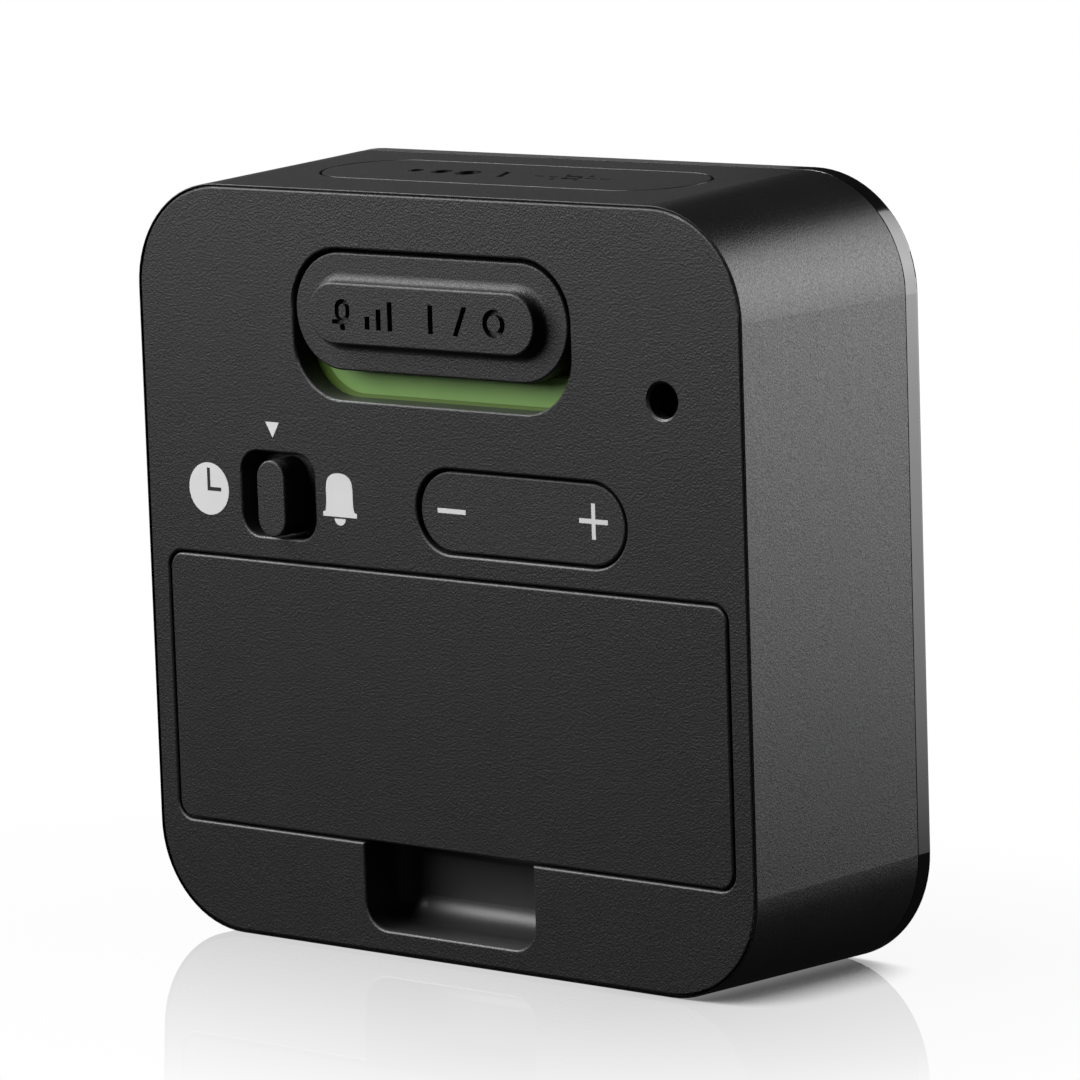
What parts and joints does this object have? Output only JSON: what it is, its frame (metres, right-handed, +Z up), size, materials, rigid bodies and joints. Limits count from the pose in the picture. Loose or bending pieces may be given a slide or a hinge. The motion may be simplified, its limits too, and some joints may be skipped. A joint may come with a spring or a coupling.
{
  "type": "travel alarm clock",
  "caption": "Compact square battery alarm clock with display front, textured back, slide switches, rocker button, battery cover and press bar on top.",
  "frame": {"origin": "middle of the clock's bounding box, down on the flat bottom it stands on", "axes": "+Z up, +Y towards the back cover with the switches, -Y towards the display, +X to the display viewer's right; the case leans back 2.39 degrees on its bottom"},
  "size_m": [0.07, 0.0278, 0.0699],
  "materials": {
    "bezel_black": "mirror gloss",
    "window_clear": "clear, polished",
    "case_dark": "fine satin texture",
    "cover_dark": "coarse spark-eroded texture",
    "control_dark": "very fine texture",
    "indicator_green": "smooth satin",
    "lcd_glass": "polished, grey-green",
    "frame_white": "satin white",
    "strip_rubber": "soft pink-grey",
    "guide_acrylic": "frosted",
    "led_body": "translucent yellow",
    "board_green": "solder-mask gloss",
    "chip_black": "domed epoxy",
    "can_metal": "drawn can",
    "switch_black": "moulded",
    "switch_light": "moulded",
    "contact_metal": "nickel plated sheet",
    "screw_steel": "zinc plated",
    "cell_wrap": "glossy sleeve with bare metal ends"
  },
  "bodies": {
    "clock": {"front_bezel": "bezel_black", "display_window": "window_clear", "lcd_glass": "lcd_glass", "lcd_frame": "frame_white", "zebra_strip_lower": "strip_rubber", "zebra_strip_upper": "strip_rubber", "light_guide": "guide_acrylic", "backlight_led_lower": "led_body", "backlight_led_upper": "led_body", "main_board": "board_green", "clock_chip": "chip_black", "quartz_crystal": "can_metal", "capacitor_inner": "can_metal", "capacitor_outer": "can_metal", "buzzer": "switch_black", "alarm_switch_body": "switch_black", "mode_switch_body": "switch_black", "minus_switch_body": "switch_black", "plus_switch_body": "switch_black", "snooze_switch_body": "switch_black", "case_shell": "case_dark", "back_cover": "cover_dark", "battery_lower": "cell_wrap", "battery_upper": "cell_wrap", "contact_bridge": "contact_metal", "contact_negative": "contact_metal", "contact_positive": "contact_metal", "contact_spring_lower": "contact_metal", "contact_spring_upper": "contact_metal", "board_screw_right_low": "screw_steel", "board_screw_right_high": "screw_steel", "board_screw_left_low": "screw_steel", "board_screw_left_high": "screw_steel", "case_screw_right": "screw_steel", "case_screw_left": "screw_steel", "slider_guide_plate": "switch_black", "alarm_indicator_plate": "indicator_green"},
    "alarm_slide": {"alarm_slider": "control_dark", "alarm_switch_lever": "switch_light"},
    "mode_slide": {"mode_knob": "control_dark", "mode_switch_lever": "switch_light"},
    "rocker": {"rocker_button": "control_dark"},
    "snooze": {"snooze_bar": "case_dark", "snooze_switch_plunger": "switch_light"},
    "battery_door": {"battery_cover": "cover_dark"},
    "minus_plunger": {"minus_switch_plunger": "switch_light"},
    "plus_plunger": {"plus_switch_plunger": "switch_light"}
  },
  "joints": [
    {"name": "alarm_switch_slide", "type": "slide", "parent": "clock", "child": "alarm_slide", "axis": [0, -0.0416, -0.9991], "range_m": [0, 0.0024]},
    {"name": "mode_switch_slide", "type": "slide", "parent": "clock", "child": "mode_slide", "axis": [1, 0, 0], "range_m": [-0.0023, 0.0023]},
    {"name": "rocker_tilt", "type": "hinge", "parent": "clock", "child": "rocker", "pos_m": [-0.0095, 0.00742, 0.0405], "axis": [0, 0.0416, 0.9991], "range_deg": [-2.5, 2.5], "stiffness_Nm_per_rad": 0.02},
    {"name": "snooze_press", "type": "slide", "parent": "clock", "child": "snooze", "axis": [0, -0.0416, -0.9991], "range_m": [0, 0.0008], "stiffness_N_per_m": 400, "springref_m": -0.0004},
    {"name": "battery_cover_hinge", "type": "hinge", "parent": "clock", "child": "battery_door", "pos_m": [0, 0.01137, 0.03433], "axis": [1, 0, 0], "range_deg": [0, 70]},
    {"name": "minus_plunger_press", "type": "slide", "parent": "clock", "child": "minus_plunger", "axis": [0, -0.9991, 0.0416], "range_m": [0, 0.00025], "stiffness_N_per_m": 400, "springref_m": -0.0002},
    {"name": "plus_plunger_press", "type": "slide", "parent": "clock", "child": "plus_plunger", "axis": [0, -0.9991, 0.0416], "range_m": [0, 0.00025], "stiffness_N_per_m": 400, "springref_m": -0.0002}
  ]
}
